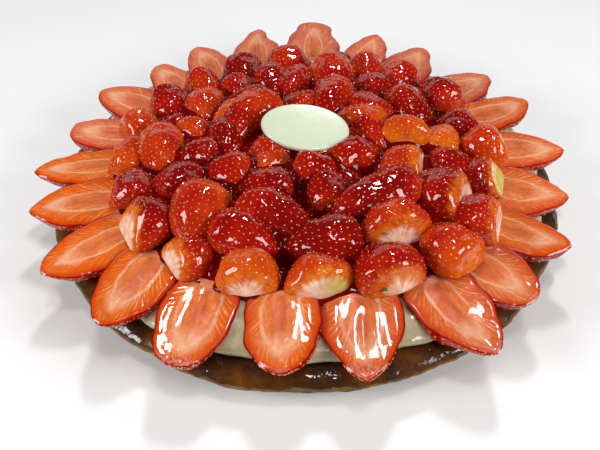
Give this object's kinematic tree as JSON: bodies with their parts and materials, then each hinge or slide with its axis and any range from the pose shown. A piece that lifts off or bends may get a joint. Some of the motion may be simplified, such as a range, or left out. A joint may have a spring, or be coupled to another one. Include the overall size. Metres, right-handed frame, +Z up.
{
  "type": "strawberry tart",
  "caption": "Round tart with a browned pastry shell, custard filling, a ring of halved strawberries laid cut face up, a glazed strawberry heap and a bare oval plaque.",
  "frame": {"origin": "centre of the pastry shell's flat underside, where the tart rests", "axes": "+Z up, away from the surface that the tart rests on, with the plaque tilted to face -Y"},
  "size_m": [0.294, 0.2937, 0.0576],
  "materials": {
    "pastry": "browned pastry, glazed on the rim's top and floury at its edge",
    "custard": "pale cream custard, soft gloss",
    "strawberry_half": "cut strawberry flesh under a wet clear glaze",
    "glazed_berries": "red strawberry skin under a wet clear glaze",
    "chocolate": "smooth pale chocolate"
  },
  "bodies": {
    "root": {"crust": "pastry", "custard": "custard", "slice_01": "strawberry_half", "slice_02": "strawberry_half", "slice_03": "strawberry_half", "slice_04": "strawberry_half", "slice_05": "strawberry_half", "slice_06": "strawberry_half", "slice_07": "strawberry_half", "slice_08": "strawberry_half", "slice_09": "strawberry_half", "slice_10": "strawberry_half", "slice_11": "strawberry_half", "slice_12": "strawberry_half", "slice_13": "strawberry_half", "slice_14": "strawberry_half", "slice_15": "strawberry_half", "slice_16": "strawberry_half", "slice_17": "strawberry_half", "slice_18": "strawberry_half", "slice_19": "strawberry_half", "slice_20": "strawberry_half", "slice_21": "strawberry_half", "slice_22": "strawberry_half", "berry_heap": "glazed_berries", "plaque": "chocolate"}
  },
  "joints": []
}
